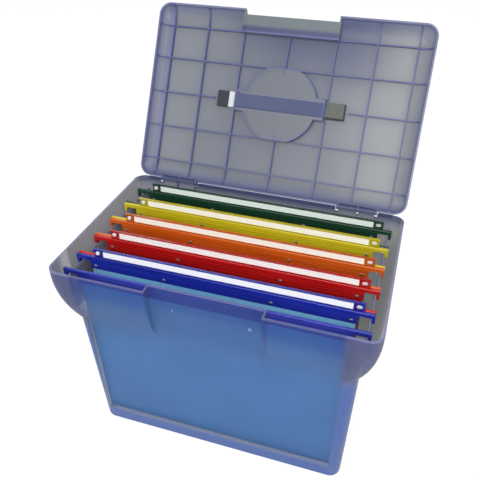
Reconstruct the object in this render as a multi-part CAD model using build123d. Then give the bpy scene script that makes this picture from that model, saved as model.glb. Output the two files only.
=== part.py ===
from build123d import *
import math
import os

# A portable file box with its lid open and five suspension files hanging in it.
# Millimetres. X runs to the right, Y to the back and Z up, from the middle of the base.

# Tub: a tapered bin whose upper part flares out into a collar
BASE_HALF_X = 161.5
BASE_HALF_Y = 87.0
DRAFT_X = 0.0245  # how much half the width grows for each millimetre of height
DRAFT_Y = 0.0688
RIM_Z = 269.0
WALL = 2.2
FLOOR = 2.8
CORNER_R = 14.0
BASE_EDGE_R = 5.0
FLARE_Z = 192.0
FLARE_TOP_Z = 264.0
FLARE_OUT = 17.5
FLARE_FOOT_Z = 186.0
RECESS_HALF_X = 64.0
NUB_SIZE = 3.6
NUB_HIGH = 0.8
NUB_X = 39.0
NUB_Z = 210.0

# Runways along both ends, which the files' hooks hang on
RUNWAY_X = 165.3
RUNWAY_THICK = 2.2
RUNWAY_Z = 252.0
RUNWAY_FOOT_Z = 188.0

# Lid, drawn closed and then swung open about the hinge
LID_GAP = 0.5
LID_HEIGHT = 15.7
LID_CORNER_R = 16.0
LID_PANEL_CORNER_R = 9.0
DOME_SIDE = 20.6
DOME_FRONT = 28.2
DOME_BACK = 22.0
DOME_STEPS = 5
LID_RECESS_HALF_X = 62.0
LIP_REACH = 20.0
RIB_THICK = 1.5
RIB_DEPTH = 5.5
RIB_EDGE_DEPTH = 1.8
RIB_PITCH_Y = 46.3
RIB_FRONT_PITCH = 42.8
RIB_XS = (0.0, 62.0, 113.4, 163.1)
OPEN_ANGLE = 118.2

# Snap hinge: rods on the lid turn in clips on the tub
HINGE_Y = 118.6
HINGE_Z = 268.4
ROD_R = 2.25
ROD_CLEARANCE = 0.05
EYE_R = 3.6
EAR_TOP_THICK = 1.8
CLIP_R = 4.4
CLIP_MOUTH = 3.8
EAR_SPANS = ((96.5, 99.3), (123.4, 125.2), (146.4, 149.2))
CLIP_SPANS = ((99.7, 123.0), (125.6, 146.0))
HINGE_NOTCH_Z = 263.2
NOTCH_ROOM = 0.6
NOTCH_REACH = 8.0
WINDOW_Z = 274.5
WINDOW_REACH = 6.0
STOP_REACH = 7.5
STOP_DROP = 1.35
STOP_THICK = 2.0
BRACKET_DROP = 20.0

# Finger dish and channel in the lid, with the carrying strap
DISH_R = 50.0
DISH_WALL = 2.0
DISH_UNDERSIDE_Z = 270.4
CHANNEL_HALF_X = 60.5
CHANNEL_HALF_Y = 14.0
STUB_LENGTH = 9.0
STUB_DEPTH = 0.5
STRAP_WIDTH = 19.0
STRAP_THICK = 2.4
STRAP_Z = 276.9
STRAP_HALF_X = 80.0
STRAP_EDGE_WIDTH = 2.4
STRAP_EDGE_HIGH = 0.8
STRAP_EDGE_HALF_X = 56.0
STRAP_ROOM = 0.4
GRIP_LENGTH = 23.8
GRIP_WIDTH = 20.8
GRIP_HIGH = 4.7
GRIP_INNER_X = 62.7
GRIP_ROOM = 0.2
GRIP_END_ROOM = 1.0
GRIP_EDGE_R = 0.8
RIB_BREAK_X = 91.0
RIB_BREAK_HALF_Y = 12.8

# Suspension files, from front to back
FILE_SHIFT_X = -2.7
FILE_COLOURS = ("blue", "red", "orange", "yellow", "green")
FIRST_RAIL_Y = -92.0
LABEL_RAIL_Y = -63.1
FILE_PITCH = 40.3
RAIL_THICK = 4.0
RAIL_LINK = 4.6
RAIL_TOP_Z = 257.3
RAIL_HIGH = 16.5
RAIL_TOP_R = 1.1
SHOULDER_X = 157.0
HOOK_END_X = 174.0
HOOK_TIP = 3.5
HOOK_TIP_Z = 246.0
FLUTE_DEPTH = 0.5
FLUTE_WIDTH = 1.6
FLUTE_ZS = (243.6, 247.2, 250.8)
SHEET_THICK = 0.8
SHEET_SLOT = 1.2
SHEET_SLOT_TOP_Z = 249.8
SHEET_TOP_Z = 249.4
SHEET_TOP_HALF_X = 155.5
SHEET_FOLD_HALF_X = 150.5
FOLD_Z = 16.5
FOLD_HALF_Y = 3.0
FOLD_R = 2.4
STUD_R = 1.9
STUD_SIDES = 12
STUD_HIGH = 0.7
STUD_XS = (-150.0, -63.0, 63.0, 150.0)
STUD_Z = 245.4

# Label holders, on the back rail of each file
HOLDER_HALF_X = 151.0
HOLDER_HIGH = 11.7
HOLDER_SKIN = 0.8
HOLDER_FRONT = 1.3
HOLDER_BACK = 1.5
HOLDER_LIP = 1.7
CARD_HALF_X = 137.0
CARD_THICK = 0.7
CARD_ROOM = 0.15
PIN_R = 2.5
PIN_X = 146.0

LID_RIM_Z = RIM_Z + LID_GAP
LID_TOP_Z = LID_RIM_Z + LID_HEIGHT
PANEL_Z = LID_TOP_Z - WALL
RIB_TIP_Z = PANEL_Z - RIB_DEPTH
FLARE_R = (FLARE_OUT**2 + (FLARE_TOP_Z - FLARE_Z) ** 2) / (2 * FLARE_OUT)
RIM_HALF_X = BASE_HALF_X + DRAFT_X * FLARE_Z + FLARE_OUT
RIM_HALF_Y = BASE_HALF_Y + DRAFT_Y * FLARE_Z + FLARE_OUT
RIB_FRONT_Y = DOME_FRONT - RIM_HALF_Y
DISH_Y = RIB_FRONT_Y + RIB_FRONT_PITCH + RIB_PITCH_Y
BEYOND = 3.0  # how far a cutting shape passes the face that it cuts
OVERLAP = 1.0  # how far a shape runs into the wall that it joins


def box(x, y, z):
    """A box between three pairs of limits."""
    size = [high - low for low, high in (x, y, z)]
    middle = [(low + high) / 2 for low, high in (x, y, z)]
    return Pos(*middle) * Box(*size)


def both_sides(shape):
    """A shape and its mirror image on the other end of the box."""
    return shape + mirror(shape, Plane.YZ)


def section(z, half_x, low_y, high_y, radius):
    """A level outline with rounded corners."""
    return Pos(0, (low_y + high_y) / 2, z) * RectangleRounded(2 * half_x, high_y - low_y, radius)


def prism_along_x(points, low_x, high_x):
    """A shape drawn as (y, z) points and drawn out along X."""
    outline = Plane.YZ.offset(low_x) * make_face(Polyline(*points, close=True))
    return extrude(outline, high_x - low_x)


def rod_along_x(radius, low_x, high_x, y, z):
    return Pos((low_x + high_x) / 2, y, z) * Rot(0, 90, 0) * Cylinder(radius, high_x - low_x)


# Tub


def tapered_outline(base_half, draft, bottom_z, top_z):
    """The outline of the tapered bin, seen from one side."""
    low_half = base_half + draft * bottom_z
    high_half = base_half + draft * top_z
    corners = [(-low_half, bottom_z), (low_half, bottom_z), (high_half, top_z), (-high_half, top_z)]
    return make_face(Polyline(*corners, close=True))


def flared_outline(rim_half, radius, top_z):
    """The outline of the flared collar, seen from one side. Its sides are arcs, upright at the top."""
    turn = math.degrees(math.asin((FLARE_TOP_Z - FLARE_FOOT_Z) / radius))
    flare = CenterArc((rim_half - radius, FLARE_TOP_Z), radius, -turn, turn)
    foot_half = (flare @ 0).X
    outline = flare + Line((rim_half, FLARE_TOP_Z), (rim_half, top_z))
    outline += mirror(outline, Plane.YZ)
    outline += Line((-foot_half, FLARE_FOOT_Z), (foot_half, FLARE_FOOT_Z))
    outline += Line((-rim_half, top_z), (rim_half, top_z))
    return make_face(outline)


def crossed(seen_from_front, seen_from_side, corner_r):
    """The solid with both of these outlines, with its four upright corners rounded."""
    solid = extrude(Plane.XZ * seen_from_front, RIM_HALF_Y + BEYOND, both=True)
    solid &= extrude(Plane.YZ * seen_from_side, RIM_HALF_X + BEYOND, both=True)
    middles = [(edge, edge.center()) for edge in solid.edges()]
    return fillet([edge for edge, middle in middles if abs(middle.X * middle.Y) > 1], corner_r)


def make_bin(inset, bottom_z, top_z):
    """The tapered bin, as high as the rim."""
    return crossed(
        tapered_outline(BASE_HALF_X - inset, DRAFT_X, bottom_z, top_z),
        tapered_outline(BASE_HALF_Y - inset, DRAFT_Y, bottom_z, top_z),
        CORNER_R - inset,
    )


def make_collar(inset, top_z):
    """The flared collar round the bin, left out in the middle of the front for the fingers."""
    collar = crossed(
        flared_outline(RIM_HALF_X - inset, FLARE_R - inset, top_z),
        flared_outline(RIM_HALF_Y - inset, FLARE_R - inset, top_z),
        CORNER_R - inset,
    )
    half = RECESS_HALF_X + inset
    return collar - box((-half, half), (-RIM_HALF_Y - BEYOND, -BASE_HALF_Y / 2), (0, top_z + BEYOND))


def hinge_bracket(low_x, high_x):
    """A clip that holds the lid's rod, on a bracket whose shoulder stops the open lid."""
    wall_y = RIM_HALF_Y - HINGE_Y
    shoulder_z = HINGE_Z - STOP_DROP
    bracket = prism_along_x(
        [
            (HINGE_Y + wall_y - WALL, shoulder_z),
            (HINGE_Y + STOP_REACH, shoulder_z),
            (HINGE_Y + STOP_REACH, shoulder_z - STOP_THICK),
            (HINGE_Y + wall_y, HINGE_Z - BRACKET_DROP),
            (HINGE_Y + wall_y - WALL, HINGE_Z - BRACKET_DROP),
        ],
        low_x,
        high_x,
    )
    bracket += rod_along_x(CLIP_R, low_x, high_x, HINGE_Y, HINGE_Z)
    reach = (low_x - BEYOND, high_x + BEYOND)
    bracket -= rod_along_x(ROD_R + ROD_CLEARANCE, *reach, HINGE_Y, HINGE_Z)
    mouth = (HINGE_Y - CLIP_MOUTH / 2, HINGE_Y + CLIP_MOUTH / 2)
    return bracket - box(reach, mouth, (HINGE_Z, HINGE_Z + 2 * CLIP_R))


def make_tub():
    outside = make_bin(0, 0, RIM_Z)
    outside = fillet(outside.edges().group_by(Axis.Z)[0], BASE_EDGE_R)
    inside = make_bin(WALL, FLOOR, RIM_Z + BEYOND)
    inside = chamfer(inside.edges().group_by(Axis.Z)[0], BASE_EDGE_R - WALL)
    outside += make_collar(0, RIM_Z)
    tub = outside - make_collar(WALL, RIM_Z + BEYOND) - inside
    runway = box(
        (RUNWAY_X, RUNWAY_X + RUNWAY_THICK),
        (-RIM_HALF_Y, RIM_HALF_Y),
        (RUNWAY_FOOT_Z, RUNWAY_Z),
    )
    tub += both_sides(runway & outside)
    notch_x = (EAR_SPANS[0][0] - NOTCH_ROOM, EAR_SPANS[-1][1] + NOTCH_ROOM)
    notch_y = (RIM_HALF_Y - NOTCH_REACH, RIM_HALF_Y + NOTCH_REACH)
    notch = box(notch_x, notch_y, (HINGE_NOTCH_Z, RIM_Z + BEYOND))
    tub -= both_sides(notch)
    for span in CLIP_SPANS:
        tub += both_sides(hinge_bracket(*span))
    front_y = BASE_HALF_Y + DRAFT_Y * NUB_Z
    nub = box(
        (NUB_X - NUB_SIZE / 2, NUB_X + NUB_SIZE / 2),
        (-front_y - NUB_HIGH, -front_y + OVERLAP),
        (NUB_Z - NUB_SIZE / 2, NUB_Z + NUB_SIZE / 2),
    )
    return tub + both_sides(nub)


# Lid, closed


def dome_section(turn, inset, drop):
    """An outline of the lid's domed edge, from its rim at turn 0 to its panel at turn 90."""
    inward = 1 - math.cos(math.radians(turn))
    radius = LID_CORNER_R + (LID_PANEL_CORNER_R - LID_CORNER_R) * inward - inset
    return section(
        LID_RIM_Z + (LID_HEIGHT - drop) * math.sin(math.radians(turn)),
        RIM_HALF_X - inset - DOME_SIDE * inward,
        -RIM_HALF_Y + inset + DOME_FRONT * inward,
        RIM_HALF_Y - inset - DOME_BACK * inward,
        radius,
    )


def lid_space(inset):
    turns = [90 * step / DOME_STEPS for step in range(DOME_STEPS + 1)]
    return loft([dome_section(turn, inset, inset) for turn in turns], ruled=True)


def dish_outline(wall):
    """The plan of the finger dish and the strap's channel, less a wall."""
    half_y = RIB_PITCH_Y + RIB_THICK / 2 - wall
    dish = Circle(DISH_R - wall) & Rectangle(2 * DISH_R, 2 * half_y)
    channel = Rectangle(2 * (CHANNEL_HALF_X - wall), 2 * (CHANNEL_HALF_Y - wall))
    return Pos(0, DISH_Y, 0) * (dish + channel)


def lid_ribs():
    """A grid of ribs inside the lid, deep on its panel and shallow down its domed edge."""
    high = (LID_RIM_Z, LID_TOP_Z - WALL / 2)
    half = RIB_THICK / 2
    plates = Part()
    for x in RIB_XS:
        plate = box((x - half, x + half), (-RIM_HALF_Y, RIM_HALF_Y), high)
        plates += both_sides(plate) if x else plate
    for y in (RIB_FRONT_Y, *(DISH_Y + RIB_PITCH_Y * step for step in (-1, 0, 1, 2))):
        plates += box((-RIM_HALF_X, RIM_HALF_X), (y - half, y + half), high)
    low = box((-RIM_HALF_X, RIM_HALF_X), (-RIM_HALF_Y, RIM_HALF_Y), (LID_RIM_Z, RIB_TIP_Z))
    ribs = plates - (lid_space(WALL + RIB_EDGE_DEPTH) & low)
    gap_y = (DISH_Y - RIB_BREAK_HALF_Y, DISH_Y + RIB_BREAK_HALF_Y)
    return ribs - box((-RIB_BREAK_X, RIB_BREAK_X), gap_y, (RIB_TIP_Z - BEYOND, PANEL_Z))


def hinge_ear(low_x, high_x):
    """An arm from the lid's back wall round the end of the rod."""
    arm = prism_along_x(
        [
            (HINGE_Y - EYE_R, HINGE_Z),
            (HINGE_Y + EYE_R, HINGE_Z),
            (RIM_HALF_Y - WALL / 2, WINDOW_Z + OVERLAP),
            (RIM_HALF_Y - WALL / 2 - EAR_TOP_THICK, WINDOW_Z + OVERLAP),
        ],
        low_x,
        high_x,
    )
    return arm + rod_along_x(EYE_R, low_x, high_x, HINGE_Y, HINGE_Z)


def make_closed_lid():
    outside = lid_space(0)
    inside = lid_space(WALL)
    step_y = RIB_FRONT_Y - RIB_THICK / 2
    front = (-RIM_HALF_Y - BEYOND, step_y)
    half = LID_RECESS_HALF_X
    high = (LID_RIM_Z - BEYOND, LID_TOP_Z + BEYOND)
    outside -= box((-half, half), front, high)
    inside -= box((-half - WALL, half + WALL), (front[0], step_y + WALL), high)
    lid = outside - inside
    lid += box((-half, half), (step_y - LIP_REACH, step_y + WALL), (LID_RIM_Z, LID_RIM_Z + WALL))
    lid += lid_ribs() & outside

    dish = Pos(0, 0, DISH_UNDERSIDE_Z) * dish_outline(0)
    lid += extrude(dish, PANEL_Z + OVERLAP - DISH_UNDERSIDE_Z)
    hollow = Pos(0, 0, DISH_UNDERSIDE_Z + DISH_WALL) * dish_outline(DISH_WALL)
    lid -= extrude(hollow, LID_HEIGHT)
    slot_half = STRAP_WIDTH / 2 + STRAP_ROOM
    lid -= box(
        (-CHANNEL_HALF_X - BEYOND, CHANNEL_HALF_X + BEYOND),
        (DISH_Y - slot_half, DISH_Y + slot_half),
        (STRAP_Z - STRAP_ROOM, STRAP_Z + STRAP_THICK + STRAP_ROOM),
    )
    for side in (-1, 1):
        end_y = DISH_Y + side * (RIB_PITCH_Y + RIB_THICK / 2)
        stub_y = sorted((end_y, end_y - side * STUB_LENGTH))
        stub_z = (DISH_UNDERSIDE_Z - STUB_DEPTH, DISH_UNDERSIDE_Z)
        lid += box((-RIB_THICK / 2, RIB_THICK / 2), stub_y, stub_z)

    window_x = (EAR_SPANS[0][0], EAR_SPANS[-1][1])
    window_y = (RIM_HALF_Y - WINDOW_REACH, RIM_HALF_Y + BEYOND)
    lid -= both_sides(box(window_x, window_y, (LID_RIM_Z - BEYOND, WINDOW_Z)))
    for span in EAR_SPANS:
        lid += both_sides(hinge_ear(*span))
    lid += both_sides(rod_along_x(ROD_R, *window_x, HINGE_Y, HINGE_Z))
    return lid


def opened(shape):
    """Swings a shape that is drawn on the closed lid to where the open lid has it."""
    return shape.rotate(Axis((0, HINGE_Y, HINGE_Z), (1, 0, 0)), -OPEN_ANGLE)


# Carrying strap and the steel grips on its ends


def make_strap():
    half = STRAP_WIDTH / 2
    strap_z = (STRAP_Z, STRAP_Z + STRAP_THICK)
    strap = box((-STRAP_HALF_X, STRAP_HALF_X), (DISH_Y - half, DISH_Y + half), strap_z)
    edge_z = (strap_z[1], strap_z[1] + STRAP_EDGE_HIGH)
    edge_x = (-STRAP_EDGE_HALF_X, STRAP_EDGE_HALF_X)
    strap += box(edge_x, (DISH_Y - half, DISH_Y - half + STRAP_EDGE_WIDTH), edge_z)
    strap += box(edge_x, (DISH_Y + half - STRAP_EDGE_WIDTH, DISH_Y + half), edge_z)
    return strap


def make_right_grip():
    middle_z = STRAP_Z + STRAP_THICK / 2
    grip = Pos(GRIP_INNER_X + GRIP_LENGTH / 2, DISH_Y, middle_z) * Box(
        GRIP_LENGTH, GRIP_WIDTH, GRIP_HIGH
    )
    grip = fillet(grip.edges().filter_by(Axis.X), GRIP_EDGE_R)
    half = STRAP_WIDTH / 2 + GRIP_ROOM
    return grip - box(
        (GRIP_INNER_X - BEYOND, STRAP_HALF_X + GRIP_END_ROOM),
        (DISH_Y - half, DISH_Y + half),
        (STRAP_Z - GRIP_ROOM, STRAP_Z + STRAP_THICK + GRIP_ROOM),
    )


# Suspension files


def make_rail(y):
    """A fluted bar with a slot for the sheet's edge below and a hook at each end."""
    half = RAIL_THICK / 2
    low_z = RAIL_TOP_Z - RAIL_HIGH
    bar = box((-SHOULDER_X, SHOULDER_X), (-half, half), (low_z, RAIL_TOP_Z))
    arm = box((SHOULDER_X, HOOK_END_X), (-half, half), (RUNWAY_Z, RAIL_TOP_Z))
    tip = box((HOOK_END_X - HOOK_TIP, HOOK_END_X), (-half, half), (HOOK_TIP_Z, RUNWAY_Z))
    bar += both_sides(arm + tip)
    bar = fillet(bar.edges().filter_by(Axis.X).group_by(Axis.Z)[-1], RAIL_TOP_R)
    flute = half - FLUTE_DEPTH
    for z in FLUTE_ZS:
        across = (z - FLUTE_WIDTH / 2, z + FLUTE_WIDTH / 2)
        reach = (-SHOULDER_X - BEYOND, SHOULDER_X + BEYOND)
        for side in (-1, 1):
            bar -= box(reach, sorted((side * flute, side * (half + BEYOND))), across)
    slot = (-SHEET_SLOT / 2, SHEET_SLOT / 2)
    bar -= box((-SHOULDER_X - BEYOND, SHOULDER_X + BEYOND), slot, (low_z - BEYOND, SHEET_SLOT_TOP_Z))
    return Pos(FILE_SHIFT_X, y, 0) * bar


def make_sheet(front_y, back_y):
    """The folder's sheet, hung in a V from both rails."""
    middle_y = (front_y + back_y) / 2
    bend_z = RAIL_TOP_Z - RAIL_HIGH
    path = FilletPolyline(
        (front_y, SHEET_TOP_Z),
        (front_y, bend_z),
        (middle_y - FOLD_HALF_Y, FOLD_Z),
        (middle_y + FOLD_HALF_Y, FOLD_Z),
        (back_y, bend_z),
        (back_y, SHEET_TOP_Z),
        radius=FOLD_R,
    )
    folded = extrude(Plane.YZ * trace(path, SHEET_THICK), SHEET_TOP_HALF_X, both=True)
    low_z = FOLD_Z - SHEET_THICK
    width = Polyline(
        (-SHEET_FOLD_HALF_X, low_z),
        (-SHEET_TOP_HALF_X, SHEET_TOP_Z),
        (SHEET_TOP_HALF_X, SHEET_TOP_Z),
        (SHEET_FOLD_HALF_X, low_z),
        close=True,
    )
    cut = extrude(Plane.XZ * make_face(width), RIM_HALF_Y, both=True)
    return Pos(FILE_SHIFT_X, 0, 0) * (folded & cut)


def make_studs(y, side):
    """The heads of the press studs on one face of a rail."""
    face_y = y + side * (RAIL_THICK + STUD_HIGH) / 2
    outline = Plane.XZ * RegularPolygon(STUD_R, STUD_SIDES)
    head = extrude(outline, STUD_HIGH / 2, both=True)
    return [Pos(FILE_SHIFT_X + x, face_y, STUD_Z) * head for x in STUD_XS]


def make_holder(y):
    """A strip with a lip along its top and bottom, open to the front."""
    low_z = RAIL_TOP_Z
    high_z = RAIL_TOP_Z + HOLDER_HIGH
    outline = [
        (y + HOLDER_BACK, low_z),
        (y + HOLDER_BACK, high_z),
        (y - HOLDER_FRONT, high_z),
        (y - HOLDER_FRONT, high_z - HOLDER_LIP),
        (y - HOLDER_FRONT + HOLDER_SKIN, high_z - HOLDER_LIP),
        (y - HOLDER_FRONT + HOLDER_SKIN, high_z - HOLDER_SKIN),
        (y + HOLDER_BACK - HOLDER_SKIN, high_z - HOLDER_SKIN),
        (y + HOLDER_BACK - HOLDER_SKIN, low_z + HOLDER_SKIN),
        (y - HOLDER_FRONT + HOLDER_SKIN, low_z + HOLDER_SKIN),
        (y - HOLDER_FRONT + HOLDER_SKIN, low_z + HOLDER_LIP),
        (y - HOLDER_FRONT, low_z + HOLDER_LIP),
        (y - HOLDER_FRONT, low_z),
    ]
    return Pos(FILE_SHIFT_X, 0, 0) * prism_along_x(outline, -HOLDER_HALF_X, HOLDER_HALF_X)


def make_card(y):
    back = y + HOLDER_BACK - HOLDER_SKIN - CARD_ROOM
    low_z = RAIL_TOP_Z + HOLDER_SKIN + CARD_ROOM
    high_z = RAIL_TOP_Z + HOLDER_HIGH - HOLDER_SKIN - CARD_ROOM
    card_x = (FILE_SHIFT_X - CARD_HALF_X, FILE_SHIFT_X + CARD_HALF_X)
    return box(card_x, (back - CARD_THICK, back), (low_z, high_z))


def make_pins(y):
    """A round pin near each end of the label holder."""
    seat_y = y + HOLDER_BACK - HOLDER_SKIN
    head_high = HOLDER_BACK + HOLDER_FRONT - HOLDER_SKIN
    head = Rot(90, 0, 0) * Cylinder(PIN_R, head_high)
    middle_z = RAIL_TOP_Z + HOLDER_HIGH / 2
    return [
        Pos(FILE_SHIFT_X + x, seat_y - head_high / 2, middle_z) * head for x in (-PIN_X, PIN_X)
    ]


def make_file(colour, front_y, back_y):
    return {
        f"folder_sheet_{colour}": make_sheet(front_y, back_y),
        f"front_rail_{colour}": make_rail(front_y),
        f"label_rail_{colour}": make_rail(back_y),
        f"press_studs_{colour}": Compound(make_studs(front_y, 1) + make_studs(back_y, -1)),
        f"label_holder_{colour}": make_holder(back_y),
        f"label_card_{colour}": make_card(back_y),
        f"holder_pins_{colour}": Compound(make_pins(back_y)),
    }


def make_nodes():
    right_grip = make_right_grip()
    nodes = {
        "tub": make_tub(),
        "lid": opened(make_closed_lid()),
        "carrying_strap": opened(make_strap()),
        "strap_grip_right": opened(right_grip),
        "strap_grip_left": opened(mirror(right_grip, Plane.YZ)),
    }
    for place, colour in enumerate(FILE_COLOURS):
        back_y = LABEL_RAIL_Y + place * FILE_PITCH
        front_y = back_y - FILE_PITCH + RAIL_LINK if place else FIRST_RAIL_Y
        nodes.update(make_file(colour, front_y, back_y))
    return nodes


os.makedirs("parts", exist_ok=True)
for name, shape in make_nodes().items():
    export_step(shape, f"parts/{name}.step")
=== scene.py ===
import math

import bmesh
import bpy
from mathutils import Matrix, Vector


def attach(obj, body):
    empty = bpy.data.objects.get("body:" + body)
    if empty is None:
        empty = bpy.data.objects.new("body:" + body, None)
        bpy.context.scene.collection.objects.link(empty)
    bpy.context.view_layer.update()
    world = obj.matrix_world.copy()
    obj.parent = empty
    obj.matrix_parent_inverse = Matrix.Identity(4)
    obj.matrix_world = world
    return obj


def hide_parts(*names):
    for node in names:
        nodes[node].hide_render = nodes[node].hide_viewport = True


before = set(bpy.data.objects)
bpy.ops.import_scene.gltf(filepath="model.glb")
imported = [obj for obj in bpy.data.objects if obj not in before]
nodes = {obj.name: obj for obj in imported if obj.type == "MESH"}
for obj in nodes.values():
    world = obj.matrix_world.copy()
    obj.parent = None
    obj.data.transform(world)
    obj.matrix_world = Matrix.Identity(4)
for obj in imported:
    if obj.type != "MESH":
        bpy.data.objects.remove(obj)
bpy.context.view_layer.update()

scene = bpy.context.scene

# The files from front to back, in mm: their middle, their first back rail, and the top of their rails
COLOURS = ("blue", "red", "orange", "yellow", "green")
MM = 0.001
SHIFT_X = -2.7
FIRST_LABEL_RAIL_Y = -63.1
FILE_PITCH = 40.3
RAIL_TOP = 257.3

# Label holders, in mm, as in the part, but longer at their right ends
HOLDER_X = (-151.0, 162.8)
HOLDER_HIGH = 11.7
HOLDER_SKIN = 0.8
HOLDER_FRONT = 1.3
HOLDER_BACK = 1.5
HOLDER_LIP = 1.7
HOLDER_BEVEL = 0.15
CARD_X = (-139.2, 150.2)
CARD_THICK = 0.7
CARD_ROOM = 0.15
CARD_BEVEL = 0.1

# Their pins, in mm: x, half width and half height
LABEL_PINS = ((-145.8, 2.5, 2.5), (156.6, 3.2, 1.8))
PIN_HEAD = 2.0
PIN_SIDES = 24
PIN_BEVEL = 0.5

# The ledge behind the tub's rim, in mm: its outline of y and z, and where each stretch begins and ends
LEDGE_OUTLINE = ((117.4, 263.9), (117.4, 266.4), (123.4, 266.4), (123.4, 265.5))
LEDGE_ENDS = {"left": (-169.0, -150.4), "middle": (-95.0, 95.0), "right": (150.4, 169.0)}
TUB_BEVEL = 0.3

# The nubs in the finger recess, in mm: x, z and half their width, on a front wall that leans outward
NUBS = {"left": (-39.5, 239.0, 1.1), "right": (48.5, 236.5, 1.9)}
NUB_DEEP = 1.1
NUB_SUNK = 0.4
FRONT_Y = -87.0
FRONT_LEAN = 0.0688

# The open lid, in metres: its hinge, its outward direction, and the way from its hinge to its front edge
HINGE = Vector((0, 0.1186, 0.2684))
OPEN = math.radians(118.2)
LID_OUT = Vector((0, math.sin(OPEN), math.cos(OPEN)))
LID_UP = Vector((0, -math.cos(OPEN), math.sin(OPEN)))
RIB_XS = (0.0, 0.0620, 0.1134, 0.1631)
RIB_ROWS = (0.0264, 0.0727, 0.1190, 0.1653, 0.2081)
RIB_HALF = 0.0009
FAINT_RIB = 0.15
PANEL_HEIGHT = 0.01445
EDGE_HEIGHTS = (0.0030, 0.0140)
HINGE_EDGE_SHADE = (0.004, 0.016)
RECESS_ALONG = 0.2087
RECESS_HALF = 0.0642
RECESS_LIP = (0.2120, 0.2180)
WIDE_BAND = (-0.1725, -0.1640)
NARROW_BAND = (-0.1835, -0.1790)

# Its finger dish and strap channel, in metres: from the hinge, outward, and then from the dish's middle
DISH_ALONG = 0.1190
DISH_HEIGHT = 0.0046
WALL_HEIGHTS = (0.0043, 0.0144)
DISH_RADIUS = 0.0503
DISH_HALF_HIGH = 0.0473
CHANNEL_HALF_LONG = 0.0607
CHANNEL_HALF_HIGH = 0.0143
WALLS_HALF_HIGH = 0.0478
WALLS_HALF_LONG = 0.0641
WALL_HALF = 0.0007
RING_RADIUS = 0.0493
END_OFF = 0.0465
END_HALF_LONG = 0.01825
LEDGE_OFF = 0.0137
LEDGE_ACROSS = 0.04675
STOP_ACROSS = 0.0600
STOP_HALF = 0.0008
STUB_OFF = 0.0379
WINDOW_HALF_LONG = 0.0590
WINDOW_HALF_HIGH = 0.0104
STRAP_EDGE = (0.0080, 0.0090)
STRAP_HALF_HIGH = 0.0070

# The grips, in metres: where the left one's painted highlight begins, and where the right one's painted
# shade begins
LEFT_GRIP_HIGHLIGHT_X = -0.0702
RIGHT_GRIP_SHADE_X = 0.0849
RIGHT_GRIP_SHADE_ALONG = 0.1110

# The tub, in metres: the stretches over which its tones, its painted light and shade, and its
# see-through front begin and end
COLLAR_Z = (0.170, 0.200)
RIM_Z = (0.2672, 0.2680)
RIM_BACK_Y = (0.098, 0.104)
BACK_RIM_Y = (0.106, 0.110)
BACK_RIM_Z = (0.258, 0.262)
COLLAR_FRONT_Y = (-0.095, -0.080)
FRONT_WALL_Y = (-0.078, -0.072)
BORDER_Y = (-0.082, -0.076)
WINDOW_SIDE_X = (0.147, 0.154)
WINDOW_FOOT_Z = (0.019, 0.027)
SHEET_TO_COLLAR_Z = (0.130, 0.220)
RAIL_BEHIND_Z = (0.228, 0.256)
INNER_RIGHT_X = (0.150, 0.165)
INNER_BACK_Y = (0.108, 0.112)
INNER_BACK_Z = (0.246, 0.262)

# The files, in metres: the top of the first sheet's back fall, where it has painted light, and the
# middle of the press studs
SHEET_BACK_Y = (-0.078, -0.074)
SHEET_TOP_Z = (0.205, 0.225)
STUD_Z = 0.2452

# How opaque one surface of the frosted plastic is (each wall has two), and what is taken off or added
SOLID = 0.84
STRAP_WINDOW_CLEARER = 0.24
THIN_CLEARER = 0.20
FRONT_CLEARER = 0.32
BORDER_DENSER = 0.32
INNER_SOLID = 0.66
INNER_FRONT_CLEARER = 0.44

SMOOTH_ANGLE = math.radians(24)
BEVEL_ANGLE = math.radians(40)
MERGE_DISTANCE = 1e-6

# Stage: the floor, how bright it is where it is seen and how much of it that is, and the world's light
FLOOR_SIZE = 14
FLOOR_MIDDLE = (0, 2.5, 0)
FLOOR_GREY = (0.86, 0.86, 0.86, 1)
FLOOR_GLOW = 1.06
FLOOR_SHARE = 0.87
WORLD_TINT = (0.94, 0.97, 1.0, 1)
WORLD_LIGHT = 0.62
WHITE = (1, 1, 1, 1)

# Lamps: place, size and power; all of them point at the middle of the box
LAMP_TARGET = Vector((0, 0.03, 0.22))
LAMPS = {
    "key": ((0.02, -1.22, 1.04), (0.8, 0.8), 13),
    "flash": ((0.20, -0.62, 0.80), (0.10, 0.10), 1.0),
    "fill": ((1.5, -0.7, 1.3), (1.2, 1.2), 6),
    "top": ((0.0, 0.3, 2.0), (1.4, 1.0), 6),
    "back": ((-0.7, 1.7, 1.1), (1.2, 1.2), 7),
}

# Camera, fitted to the photo's edges
AZIMUTH = math.radians(17.682)
ELEVATION = math.radians(34.667)
ROLL = math.radians(0.267)
CAMERA_TARGET = Vector((-0.00049, 0.01442, 0.26269))
CAMERA_AWAY = 0.69655
LENS = 43.524


# Materials


def srgb(r, g, b):
    """A colour given as it looks, in 0 to 255, as linear values."""
    out = []
    for v in (r, g, b):
        v /= 255
        out.append(v / 12.92 if v <= 0.04045 else ((v + 0.055) / 1.055) ** 2.4)
    return (*out, 1.0)


def darker(colour, share):
    return (*(c * share for c in colour[:3]), 1.0)


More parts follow.
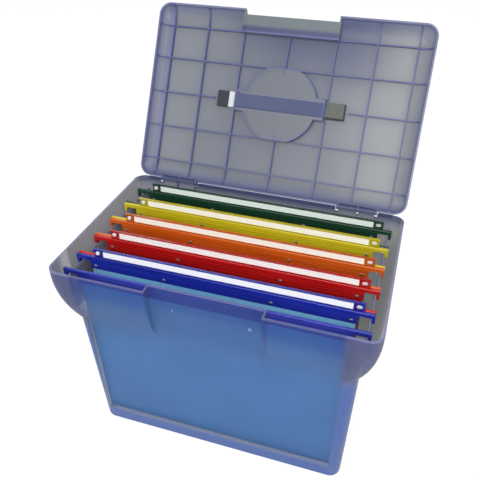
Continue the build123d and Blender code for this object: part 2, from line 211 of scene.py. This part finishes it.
class Mat:
    """A material with one Principled shader, and short ways to wire it up."""

    def __init__(self, name):
        self.mat = bpy.data.materials.new(name)
        self.mat.use_nodes = True
        self.tree = self.mat.node_tree
        self.tree.nodes.clear()
        out = self.tree.nodes.new("ShaderNodeOutputMaterial")
        self.bsdf = self.tree.nodes.new("ShaderNodeBsdfPrincipled")
        self.tree.links.new(self.bsdf.outputs[0], out.inputs["Surface"])
        self.coord = self.tree.nodes.new("ShaderNodeTexCoord").outputs["Object"]

    def feed(self, socket, value):
        """Links a socket to another node's output, or gives it a plain value."""
        if isinstance(value, bpy.types.NodeSocket):
            self.tree.links.new(value, socket)
        else:
            socket.default_value = value

    def put(self, **values):
        """Feeds inputs of the shader."""
        for key, value in values.items():
            self.feed(self.bsdf.inputs[key.replace("_", " ")], value)

    def node(self, kind, *values, **named):
        """Adds a node and feeds its first inputs, and others by their names."""
        n = self.tree.nodes.new(kind)
        for socket, value in zip(n.inputs, values):
            self.feed(socket, value)
        for key, value in named.items():
            self.feed(n.inputs[key.replace("_", " ")], value)
        return n

    def math(self, op, a, b=0.0, clamp=False):
        n = self.node("ShaderNodeMath", a, b)
        n.operation = op
        n.use_clamp = clamp
        return n.outputs[0]

    def inverse(self, value):
        return self.math("SUBTRACT", 1.0, value)

    def product(self, *values):
        total = values[0]
        for value in values[1:]:
            total = self.math("MULTIPLY", total, value)
        return total

    def most(self, *values):
        total = values[0]
        for value in values[1:]:
            total = self.math("MAXIMUM", total, value)
        return total

    def distance(self, a, b):
        return self.math("ABSOLUTE", self.math("SUBTRACT", a, b))

    def dot(self, a, vector):
        n = self.node("ShaderNodeVectorMath", a, tuple(vector))
        n.operation = "DOT_PRODUCT"
        return n.outputs["Value"]

    def place(self):
        """Where a point is: x, y and z."""
        return [self.dot(self.coord, axis) for axis in ((1, 0, 0), (0, 1, 0), (0, 0, 1))]

    def lid_place(self):
        """Where a point is on the open lid: x, how far from the hinge, and how far out."""
        rel = self.node("ShaderNodeVectorMath", self.coord, tuple(HINGE))
        rel.operation = "SUBTRACT"
        return [self.dot(rel.outputs[0], axis) for axis in ((1, 0, 0), LID_UP, LID_OUT)]

    def noise(self, scale, detail=3.0, stretch=(1, 1, 1)):
        where = self.node("ShaderNodeMapping", Vector=self.coord, Scale=stretch).outputs[0]
        n = self.node("ShaderNodeTexNoise", Vector=where, Scale=scale, Detail=detail, Roughness=0.55)
        return n.outputs["Fac"]

    def ramp(self, value, low, high, smooth=True):
        """0 below low, 1 above high, and a slope between them."""
        n = self.node("ShaderNodeMapRange", Value=value, From_Min=low, From_Max=high)
        n.interpolation_type = "SMOOTHSTEP" if smooth else "LINEAR"
        return n.outputs[0]

    def above(self, value, limit, soft=0.0001):
        return self.ramp(value, limit - soft, limit + soft)

    def below(self, value, limit, soft=0.0001):
        return self.inverse(self.above(value, limit, soft))

    def between(self, value, low, high, soft=0.0002):
        """1 where value lies between low and high, else 0."""
        return self.product(self.above(value, low, soft), self.below(value, high, soft))

    def near(self, value, places, half):
        """1 where value lies within half of one of the places, else 0."""
        return self.most(*[self.below(self.distance(value, place), half, 0.0002) for place in places])

    def mix(self, share, a, b):
        """Colour a where share is 0, and colour b where it is 1."""
        n = self.tree.nodes.new("ShaderNodeMix")
        n.data_type = "RGBA"
        for index, value in ((0, share), (6, a), (7, b)):
            self.feed(n.inputs[index], value)
        return n.outputs[2]

    def bump(self, height, strength, distance):
        n = self.node("ShaderNodeBump", Height=height, Strength=strength, Distance=distance)
        self.put(Normal=n.outputs[0])


def frosted(name, body, shade):
    """Frosted translucent plastic with a fine satin grain; its drifting colour is left in base."""
    m = Mat(name)
    m.base = m.mix(m.ramp(m.noise(9.0), 0.35, 0.7), body, shade)
    m.put(Roughness=0.42, IOR=1.45)
    m.bump(m.noise(2600.0, 2.0), 0.25, 0.00008)
    return m


def dish_masks(m, across, off, height):
    """Where the finger dish with its strap channel is, and the lines along its walls."""
    radius = m.math("SQRT", m.math("ADD", m.product(across, across), m.product(off, off)))
    in_channel = m.product(m.below(across, CHANNEL_HALF_LONG), m.below(off, CHANNEL_HALF_HIGH))
    in_dish = m.product(
        m.below(height, DISH_HEIGHT, 0.0002),
        m.most(m.below(radius, DISH_RADIUS), in_channel),
        m.below(off, DISH_HALF_HIGH),
    )
    stub = m.product(m.near(across, (0.0,), RIB_HALF), m.above(off, STUB_OFF))
    ring = m.product(m.near(radius, (RING_RADIUS,), WALL_HALF), m.inverse(in_channel))
    end = m.product(m.near(off, (END_OFF,), WALL_HALF), m.below(across, END_HALF_LONG, 0.00025))
    ledge = m.product(m.near(off, (LEDGE_OFF,), WALL_HALF), m.above(across, LEDGE_ACROSS, 0.00025))
    stop = m.product(m.near(across, (STOP_ACROSS,), STOP_HALF), in_channel)
    return in_dish, m.product(in_dish, m.most(stub, ring, end, ledge, stop))


def rib_lines(m, across, along, height):
    """The grid of ribs, fainter on the domed edge than on the panel."""
    ribs = m.most(m.near(across, RIB_XS, RIB_HALF), m.near(along, RIB_ROWS, RIB_HALF))
    on_panel = m.below(height, PANEL_HEIGHT)
    return m.product(ribs, m.math("ADD", m.product(on_panel, 1 - FAINT_RIB), FAINT_RIB))


def lid_light_and_shade(m, side, across, along):
    """The panel's grey with painted light and shade: lighter at its sides, and a painted shade darkest
    above the dish.
    """
    # Painted light: the sides lighter, the right more than the left
    painted_side_light = m.mix(m.ramp(side, -0.02, 0.02), srgb(119, 123, 132), srgb(132, 135, 139))
    tone = m.mix(m.ramp(across, 0.060, 0.150), m.base, painted_side_light)
    # Painted shade over the middle of the panel, darkest above the dish
    middle = m.inverse(m.ramp(m.distance(side, 0.035), 0.035, 0.130))
    shade = m.product(m.ramp(along, 0.130, 0.212), middle)
    return m.mix(m.product(shade, 0.9), tone, srgb(62, 68, 104))


def dome_bands(m, side):
    """Two dark reflections along the left dome."""
    wide = m.between(side, *WIDE_BAND, 0.0015)
    narrow = m.between(side, *NARROW_BAND, 0.0010)
    return m.most(wide, m.product(narrow, 0.8))


def lid_plastic():
    """Panel, domed edge painted darker as painted shade, blue lines where ribs and walls are seen on
    edge, and a strap window.
    """
    m = frosted("frosted_lid", srgb(106, 111, 122), srgb(101, 106, 119))
    side, along, height = m.lid_place()
    across = m.math("ABSOLUTE", side)
    off = m.distance(along, DISH_ALONG)
    in_dish, outline = dish_masks(m, across, off, height)
    outside_dish = m.inverse(in_dish)
    in_recess = m.product(m.below(across, RECESS_HALF, 0.0002), m.above(along, RECESS_ALONG, 0.0002))
    lines = m.product(rib_lines(m, across, along, height), outside_dish, m.inverse(in_recess))
    walls = m.product(
        m.between(height, *WALL_HEIGHTS),
        m.below(off, WALLS_HALF_HIGH, 0.0002),
        m.below(across, WALLS_HALF_LONG),
    )
    # Painted shade on the domed edge, strongest at its rim
    edge = m.product(m.inverse(m.ramp(height, *EDGE_HEIGHTS, False)), outside_dish)
    # The recess's pale lip, with painted shade below its step
    lip_and_painted_shade = m.mix(m.ramp(along, *RECESS_LIP), srgb(50, 58, 100), srgb(96, 106, 110))

    tone = lid_light_and_shade(m, side, across, along)
    # Painted shade: the dish floor darker, as shaded as the panel around it
    tone = m.mix(in_dish, tone, srgb(94, 99, 110))
    tone = m.mix(m.product(edge, 0.8), tone, srgb(104, 108, 150))
    tone = m.mix(m.product(dome_bands(m, side), 0.6), tone, srgb(84, 88, 138))
    # Painted shade along the domed edge at the hinge
    tone = m.mix(m.inverse(m.ramp(along, *HINGE_EDGE_SHADE)), tone, srgb(78, 84, 122))
    tone = m.mix(in_recess, tone, lip_and_painted_shade)
    tone = m.mix(m.most(lines, walls, outline), tone, srgb(80, 85, 138))

    window = m.product(
        in_dish,
        m.below(off, WINDOW_HALF_HIGH, 0.0002),
        m.below(across, WINDOW_HALF_LONG, 0.0002),
    )
    # Painted shade: the strap seen through the lid grows darker towards its right
    strap = m.mix(m.ramp(side, -0.060, 0.060), srgb(78, 88, 124), srgb(62, 72, 116))
    strap = m.mix(m.ramp(off, *STRAP_EDGE), strap, srgb(54, 60, 108))
    m.put(Base_Color=m.mix(window, tone, strap))
    m.put(Alpha=m.math("SUBTRACT", SOLID, m.product(window, STRAP_WINDOW_CLEARER)))
    return m.mat


def tub_plastic():
    """Violet collar, paler bin with a blue border, a rim painted lighter as painted light, and a clear
    front that shows the first file.
    """
    m = frosted("frosted_tub", srgb(64, 70, 110), srgb(58, 64, 106))
    side, depth, height = m.place()
    off = m.distance(side, SHIFT_X * MM)
    in_bin = m.inverse(m.ramp(height, *COLLAR_Z))
    clear = m.product(
        m.inverse(m.ramp(depth, *FRONT_WALL_Y)),
        m.inverse(m.ramp(off, *WINDOW_SIDE_X)),
        m.ramp(height, *WINDOW_FOOT_Z),
    )
    border = m.product(in_bin, m.inverse(m.ramp(depth, *BORDER_Y)))
    # Painted light: a lighter line along the top of the rim, except at the back
    rim = m.product(m.ramp(height, *RIM_Z), m.inverse(m.ramp(depth, *RIM_BACK_Y)))
    back_rim = m.product(m.ramp(depth, *BACK_RIM_Y), m.ramp(height, *BACK_RIM_Z))

    front = m.mix(m.ramp(side, -0.14, 0.14), srgb(62, 88, 140), srgb(62, 94, 152))
    front = m.mix(m.ramp(height, *SHEET_TO_COLLAR_Z), srgb(72, 106, 166), front)
    front = m.mix(m.ramp(height, *RAIL_BEHIND_Z), front, srgb(26, 56, 138))
    tone = m.mix(in_bin, m.base, srgb(104, 110, 136))
    tone = m.mix(border, tone, srgb(54, 84, 148))
    tone = m.mix(clear, tone, front)
    m.put(Base_Color=m.mix(rim, tone, srgb(104, 108, 154)))

    thin = m.product(m.most(in_bin, m.ramp(depth, *COLLAR_FRONT_Y)), m.inverse(back_rim))
    opaque = m.math("SUBTRACT", SOLID, m.product(thin, THIN_CLEARER))
    in_window = m.math("SUBTRACT", opaque, FRONT_CLEARER)
    around = m.math("ADD", opaque, m.product(border, BORDER_DENSER))
    m.put(Alpha=m.math("ADD", m.product(m.inverse(clear), around), m.product(clear, in_window)))
    return m.mat


def tub_inside():
    """Greyer than its outside; painted light makes it palest at the front of its right end, and painted
    shade darkens the front of its left end.
    """
    m = frosted("frosted_tub_inside", srgb(132, 133, 140), srgb(124, 126, 136))
    side, depth, height = m.place()
    # Painted light on the right end, brightest at its front
    right = m.mix(m.ramp(depth, -0.090, 0.010), srgb(205, 205, 202), srgb(150, 150, 152))
    # Painted shade at the front of the left end
    left = m.mix(m.ramp(depth, -0.110, -0.010), srgb(104, 105, 114), m.base)
    tone = m.mix(m.ramp(side, *INNER_RIGHT_X), left, right)
    back = m.product(m.ramp(depth, *INNER_BACK_Y), m.ramp(height, *INNER_BACK_Z))
    m.put(Base_Color=m.mix(back, tone, srgb(78, 84, 118)))
    clear = m.inverse(m.ramp(depth, *FRONT_WALL_Y))
    m.put(Alpha=m.math("SUBTRACT", INNER_SOLID, m.product(clear, INNER_FRONT_CLEARER)))
    return m.mat


def nub_plastic():
    """Paler and bluer than the front wall behind it."""
    m = frosted("frosted_nub", srgb(98, 128, 178), srgb(92, 122, 174))
    m.put(Base_Color=m.base)
    return m.mat


def rail_plastic(name, body, dark):
    """Extruded plastic with fine streaks along its length."""
    m = Mat(name)
    streak = m.noise(900.0, 3.0, (0.012, 1, 1))
    m.put(Base_Color=m.mix(m.ramp(streak, 0.35, 0.68), body, dark), Roughness=0.34, IOR=1.48)
    m.bump(streak, 0.35, 0.0002)
    return m.mat


def sheet_plastic(name, body, dark, top=None):
    """A thin sheet, with painted light at the top of its back fall where a colour is given for that."""
    m = Mat(name)
    tone = m.mix(m.ramp(m.noise(14.0, 2.0), 0.3, 0.7), body, dark)
    if top:
        _, depth, height = m.place()
        # Painted light at the top of the back fall
        painted_light_top = m.product(m.ramp(depth, *SHEET_BACK_Y), m.ramp(height, *SHEET_TOP_Z))
        tone = m.mix(painted_light_top, tone, top)
    m.put(Base_Color=tone, Roughness=0.45, IOR=1.46)
    m.bump(m.noise(1600.0, 2.0), 0.25, 0.0001)
    return m.mat


def holder_plastic(name, tint):
    """A thin clear strip with a tint of its file."""
    m = Mat(name)
    tone = m.mix(m.ramp(m.noise(40.0, 2.0), 0.3, 0.7), tint, darker(tint, 0.8))
    m.put(Base_Color=tone, Roughness=0.16, IOR=1.49, Alpha=0.62)
    return m.mat


def card(name, body):
    """Matt card with a fine fibre."""
    m = Mat(name)
    fibre = m.noise(1500.0, 4.0, (0.5, 1, 1))
    m.put(Base_Color=m.mix(m.ramp(fibre, 0.3, 0.75), body, darker(body, 0.93)), Roughness=0.75)
    m.bump(fibre, 0.3, 0.00008)
    return m.mat


def pin_plastic(name, tint):
    """White, with a little of its file's colour on the right pin."""
    m = Mat(name)
    white = m.mix(m.noise(300.0, 2.0), srgb(236, 236, 238), srgb(224, 226, 232))
    side = m.place()[0]
    m.put(Base_Color=m.mix(m.product(m.above(side, 0.0, 0.001), 0.28), white, tint), Roughness=0.3)
    return m.mat


def stud_steel():
    """Press studs, bright above their middle and dark below it, as a flash from above shows them."""
    m = Mat("stud_steel")
    mottle = m.noise(420.0, 4.0)
    bright = m.mix(m.ramp(mottle, 0.35, 0.7), srgb(214, 214, 216), srgb(176, 177, 180))
    upper = m.above(m.place()[2], STUD_Z, 0.0003)
    m.put(Base_Color=m.mix(upper, srgb(44, 42, 46), bright), Roughness=0.35, Metallic=0.6)
    m.bump(mottle, 0.3, 0.0002)
    return m.mat


def grip(name, pitch, roughness, groove, crest):
    """Folded steel with fine lines across it; its striped colour is left in base."""
    m = Mat(name)
    side = m.place()[0]
    wave = m.math("SINE", m.product(side, 2 * math.pi / pitch))
    lines = m.math("ADD", m.product(wave, 0.35), m.noise(900.0, 2.0, (1, 0.1, 0.1)), True)
    m.base = m.mix(m.ramp(lines, 0.3, 0.8), groove, crest)
    m.put(Roughness=roughness, Metallic=0.1, Specular_IOR_Level=0.3)
    m.bump(lines, 0.4, 0.0003)
    return m


def left_grip():
    """Steel painted black as a dark reflection, with a painted highlight at its inner end."""
    black, grey = srgb(20, 22, 32), srgb(54, 57, 70)
    m = grip("grip_dark", pitch=0.0023, roughness=0.5, groove=black, crest=grey)
    # Painted highlight at the inner end
    painted_highlight = m.above(m.place()[0], LEFT_GRIP_HIGHLIGHT_X, 0.0004)
    m.put(Base_Color=m.mix(painted_highlight, m.base, srgb(196, 198, 204)))
    return m.mat


def right_grip():
    """Painted olive grey as a reflection, with painted shade along its lower edge and at its outer end.
    """
    olive, pale = srgb(74, 78, 74), srgb(100, 103, 96)
    m = grip("grip_grey", pitch=0.0015, roughness=0.55, groove=olive, crest=pale)
    side, along, _ = m.lid_place()
    # Painted shade at the outer end and along the lower edge
    painted_shade_end = m.above(side, RIGHT_GRIP_SHADE_X, 0.0003)
    dark = m.most(painted_shade_end, m.below(along, RIGHT_GRIP_SHADE_ALONG, 0.0005))
    m.put(Base_Color=m.mix(dark, m.base, srgb(44, 46, 48)))
    return m.mat


def strap_plastic():
    """Blue violet, darker along its two edges."""
    m = Mat("strap_blue")
    streak = m.noise(700.0, 2.0, (0.05, 1, 1))
    body = m.mix(m.ramp(streak, 0.3, 0.7), srgb(72, 82, 130), srgb(62, 72, 122))
    off = m.distance(m.lid_place()[1], DISH_ALONG)
    m.put(Base_Color=m.mix(m.above(off, STRAP_HALF_HIGH, 0.0004), body, srgb(36, 42, 92)), Roughness=0.4)
    m.bump(streak, 0.2, 0.0001)
    return m.mat


# Body and dark streak of each rail; body and dark cloud of each sheet, and the painted light at the blue
# one's top; cards
RAILS = {
    "blue": (srgb(30, 44, 158), srgb(20, 32, 128)),
    "red": (srgb(188, 22, 22), srgb(160, 14, 16)),
    "orange": (srgb(208, 96, 24), srgb(184, 78, 16)),
    "yellow": (srgb(206, 190, 34), srgb(184, 168, 24)),
    "green": (srgb(28, 66, 44), srgb(18, 52, 34)),
}
SHEETS = {
    "blue": (srgb(62, 142, 206), srgb(54, 132, 196), srgb(140, 206, 240)),
    "red": (srgb(176, 30, 26), srgb(156, 22, 22)),
    "orange": (srgb(206, 100, 30), srgb(190, 88, 24)),
    "yellow": (srgb(208, 192, 60), srgb(196, 180, 48)),
    "green": (srgb(30, 84, 54), srgb(24, 70, 46)),
}
CARDS = {
    "blue": srgb(250, 250, 252),
    "red": srgb(250, 245, 242),
    "orange": srgb(250, 246, 234),
    "yellow": srgb(250, 248, 234),
    "green": srgb(230, 240, 233),
}


# The part's nodes


def paint(obj, mat):
    obj.data.materials.clear()
    obj.data.materials.append(mat)


def paint_sides(obj, outside, inside, middle):
    """Gives the faces that look towards the middle the inside material, and the rest the outside one."""
    paint(obj, outside)
    obj.data.materials.append(inside)
    for face in obj.data.polygons:
        face.material_index = int(face.normal.dot(face.center - middle) < 0)


def paint_nodes():
    paint_sides(nodes["tub"], tub_plastic(), tub_inside(), Vector((0, 0, 0.13)))
    paint(nodes["lid"], lid_plastic())
    paint(nodes["carrying_strap"], strap_plastic())
    paint(nodes["strap_grip_left"], left_grip())
    paint(nodes["strap_grip_right"], right_grip())
    stud = stud_steel()
    for c in COLOURS:
        rail = rail_plastic(f"rail_{c}", *RAILS[c])
        paint(nodes[f"front_rail_{c}"], rail)
        paint(nodes[f"label_rail_{c}"], rail)
        paint(nodes[f"folder_sheet_{c}"], sheet_plastic(f"sheet_{c}", *SHEETS[c]))
        paint(nodes[f"press_studs_{c}"], stud)


def smoothing():
    """A modifier's node tree: joins the faces of a node, and shades them smooth except at its edges."""
    tree = bpy.data.node_groups.new("smooth_by_angle", "GeometryNodeTree")
    tree.interface.new_socket("Geometry", in_out="INPUT", socket_type="NodeSocketGeometry")
    tree.interface.new_socket("Geometry", in_out="OUTPUT", socket_type="NodeSocketGeometry")
    new, link = tree.nodes.new, tree.links.new
    start, end = new("NodeGroupInput"), new("NodeGroupOutput")
    plain = new("GeometryNodeRemoveAttribute")
    plain.inputs["Name"].default_value = "custom_normal"
    merge = new("GeometryNodeMergeByDistance")
    merge.inputs["Distance"].default_value = MERGE_DISTANCE
    angle = new("GeometryNodeInputMeshEdgeAngle")
    small = new("FunctionNodeCompare")
    small.data_type = "FLOAT"
    small.operation = "LESS_THAN"
    small.inputs[1].default_value = SMOOTH_ANGLE
    faces, edges = new("GeometryNodeSetShadeSmooth"), new("GeometryNodeSetShadeSmooth")
    faces.domain, edges.domain = "FACE", "EDGE"
    link(start.outputs[0], plain.inputs["Geometry"])
    link(plain.outputs[0], merge.inputs["Geometry"])
    link(merge.outputs[0], faces.inputs["Geometry"])
    link(faces.outputs[0], edges.inputs["Geometry"])
    link(angle.outputs["Unsigned Angle"], small.inputs[0])
    link(small.outputs[0], edges.inputs["Shade Smooth"])
    link(edges.outputs[0], end.inputs[0])
    return tree


def smooth_nodes():
    tree = smoothing()
    for obj in nodes.values():
        obj.modifiers.new("smooth", "NODES").node_group = tree


# Pieces that the part doesn't have, or has in another size or place


def add_prism(bm, outline, move):
    """Adds a solid: a flat outline, and the same outline moved along."""
    ends = [[bm.verts.new(Vector(p) + step) for p in outline] for step in (Vector(), Vector(move))]
    bm.faces.new(ends[0])
    bm.faces.new(reversed(ends[1]))
    for i in range(len(outline)):
        j = (i + 1) % len(outline)
        bm.faces.new((ends[0][i], ends[0][j], ends[1][j], ends[1][i]))


def piece(name, outlines, move, mat, body, bevel):
    """Turns flat outlines in mm into one bevelled piece that rides on a body."""
    bm = bmesh.new()
    for outline in outlines:
        add_prism(bm, outline, move)
    for vertex in bm.verts:
        vertex.co *= MM
    bmesh.ops.recalc_face_normals(bm, faces=bm.faces)
    mesh = bpy.data.meshes.new(name)
    bm.to_mesh(mesh)
    bm.free()
    obj = bpy.data.objects.new(name, mesh)
    scene.collection.objects.link(obj)
    obj.data.materials.append(mat)
    mod = obj.modifiers.new("bevel", "BEVEL")
    mod.width = bevel * MM
    mod.segments = 2
    mod.limit_method = "ANGLE"
    mod.angle_limit = BEVEL_ANGLE
    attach(obj, body)
    return obj


def along_x(name, outline, ends, mat, body, bevel):
    """A piece with one outline of y and z all along x."""
    low_x, high_x = ends
    flat = [(low_x, y, z) for y, z in outline]
    return piece(name, [flat], (high_x - low_x, 0, 0), mat, body, bevel)


def from_file(ends):
    """Places along x that are given from the files' middle."""
    return [x + SHIFT_X for x in ends]


def label_pins(name, seat_y, mat, body):
    """A round pin at the holder's left end and a flat oval one at its right end."""
    turns = [2 * math.pi * k / PIN_SIDES for k in range(PIN_SIDES)]
    middle_z = RAIL_TOP + HOLDER_HIGH / 2
    outlines = [
        [(x + SHIFT_X + wide * math.cos(t), seat_y, middle_z + high * math.sin(t)) for t in turns]
        for x, wide, high in LABEL_PINS
    ]
    return piece(name, outlines, (0, -PIN_HEAD, 0), mat, body, PIN_BEVEL)


def label_set(c):
    """The holder, its card and its pins, on the back rail of one file."""
    y = FIRST_LABEL_RAIL_Y + FILE_PITCH * COLOURS.index(c)
    low, high = RAIL_TOP, RAIL_TOP + HOLDER_HIGH
    front, back = y - HOLDER_FRONT, y + HOLDER_BACK
    skin, lip = HOLDER_SKIN, HOLDER_LIP
    channel = [
        (back, low),
        (back, high),
        (front, high),
        (front, high - lip),
        (front + skin, high - lip),
        (front + skin, high - skin),
        (back - skin, high - skin),
        (back - skin, low + skin),
        (front + skin, low + skin),
        (front + skin, low + lip),
        (front, low + lip),
        (front, low),
    ]
    body = f"file_{c}"
    tint = RAILS[c][0]
    clear = holder_plastic(f"holder_{c}", tint)
    ends = from_file(HOLDER_X)
    holder = along_x(f"long_holder_{c}", channel, ends, clear, body, HOLDER_BEVEL)
    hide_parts(f"label_holder_{c}")

    card_back = back - skin - CARD_ROOM
    card_front = card_back - CARD_THICK
    low_z, high_z = low + skin + CARD_ROOM, high - skin - CARD_ROOM
    flat = [(card_back, low_z), (card_back, high_z), (card_front, high_z), (card_front, low_z)]
    paper = card(f"card_{c}", CARDS[c])
    strip = along_x(f"long_card_{c}", flat, from_file(CARD_X), paper, body, CARD_BEVEL)
    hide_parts(f"label_card_{c}")

    pins = label_pins(f"label_pins_{c}", back - skin, pin_plastic(f"pin_{c}", tint), body)
    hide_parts(f"holder_pins_{c}")


def hinge_ledges():
    """A thin ledge on the tub's back wall, which closes the gap under the open lid's edge."""
    mat = nodes["tub"].data.materials[0]
    for name, ends in LEDGE_ENDS.items():
        along_x(f"hinge_ledge_{name}", LEDGE_OUTLINE, ends, mat, "box", TUB_BEVEL)


def recess_nubs():
    """Two small square nubs in the finger recess, where the photo shows them."""
    mat = nub_plastic()
    for name, (x, z, half) in NUBS.items():
        back_y = FRONT_Y - FRONT_LEAN * z + NUB_SUNK
        corners = ((-half, -half), (half, -half), (half, half), (-half, half))
        square = [(x + right, back_y, z + up) for right, up in corners]
        piece(f"recess_nub_{name}", [square], (0, -NUB_DEEP, 0), mat, "box", TUB_BEVEL)


# Stage


def seen_rays(tree, factor=1.0):
    """The factor for camera rays and for rays that glossy or clear surfaces send out, 0 for the rest."""
    path = tree.nodes.new("ShaderNodeLightPath")
    total = path.outputs["Is Camera Ray"]
    for ray in ("Is Glossy Ray", "Is Transmission Ray"):
        larger = tree.nodes.new("ShaderNodeMath")
        larger.operation = "MAXIMUM"
        tree.links.new(total, larger.inputs[0])
        tree.links.new(path.outputs[ray], larger.inputs[1])
        total = larger.outputs[0]
    scaled = tree.nodes.new("ShaderNodeMath")
    scaled.operation = "MULTIPLY"
    scaled.inputs[1].default_value = factor
    tree.links.new(total, scaled.inputs[0])
    return scaled.outputs[0]


def blend_shaders(tree, factor, plain, seen, output):
    """Feeds an output with the plain shader, and with the seen one by the factor."""
    mix = tree.nodes.new("ShaderNodeMixShader")
    tree.links.new(factor, mix.inputs[0])
    tree.links.new(plain.outputs[0], mix.inputs[1])
    tree.links.new(seen.outputs[0], mix.inputs[2])
    tree.links.new(mix.outputs[0], tree.nodes[output].inputs["Surface"])


def floor():
    """Pale, and keeps the shadow."""
    bpy.ops.mesh.primitive_plane_add(size=FLOOR_SIZE, location=FLOOR_MIDDLE)
    plane = bpy.context.object
    plane.name = "floor"
    mat = bpy.data.materials.new("floor")
    mat.use_nodes = True
    tree = mat.node_tree
    bsdf = tree.nodes["Principled BSDF"]
    bsdf.inputs["Base Color"].default_value = FLOOR_GREY
    bsdf.inputs["Roughness"].default_value = 0.8
    glow = tree.nodes.new("ShaderNodeEmission")
    glow.inputs["Strength"].default_value = FLOOR_GLOW
    blend_shaders(tree, seen_rays(tree, FLOOR_SHARE), bsdf, glow, "Material Output")
    plane.data.materials.append(mat)


def backdrop():
    """A soft world that is white where it is seen."""
    world = bpy.data.worlds.new("world")
    scene.world = world
    world.use_nodes = True
    tree = world.node_tree
    soft = tree.nodes["Background"]
    soft.inputs["Color"].default_value = WORLD_TINT
    soft.inputs["Strength"].default_value = WORLD_LIGHT
    white = tree.nodes.new("ShaderNodeBackground")
    white.inputs["Color"].default_value = WHITE
    blend_shaders(tree, seen_rays(tree), soft, white, "World Output")


def lights():
    for name, (where, size, power) in LAMPS.items():
        light = bpy.data.lights.new(name, "AREA")
        light.shape = "RECTANGLE"
        light.size, light.size_y = size
        light.energy = power
        obj = bpy.data.objects.new(name, light)
        scene.collection.objects.link(obj)
        obj.location = where
        obj.rotation_euler = (LAMP_TARGET - Vector(where)).to_track_quat("-Z", "Y").to_euler()


def camera():
    """Behind its target by its azimuth and elevation, and rolled a little."""
    level = math.cos(ELEVATION)
    back = Vector((math.sin(AZIMUTH) * level, -math.cos(AZIMUTH) * level, math.sin(ELEVATION)))
    right = (-back).cross(Vector((0, 0, 1))).normalized()
    up = right.cross(-back)
    rolled_right = math.cos(ROLL) * right + math.sin(ROLL) * up
    rolled_up = math.cos(ROLL) * up - math.sin(ROLL) * right
    data = bpy.data.cameras.new("camera")
    data.lens = LENS
    data.sensor_width = 36
    data.clip_start = 0.01
    data.clip_end = 50
    cam = bpy.data.objects.new("camera", data)
    scene.collection.objects.link(cam)
    rotation = Matrix((rolled_right, rolled_up, back)).transposed().to_4x4()
    cam.matrix_world = Matrix.Translation(CAMERA_TARGET + back * CAMERA_AWAY) @ rotation
    scene.camera = cam


scene.view_settings.view_transform = "Standard"
paint_nodes()
smooth_nodes()
for colour in COLOURS:
    label_set(colour)
hinge_ledges()
recess_nubs()
floor()
backdrop()
lights()
camera()
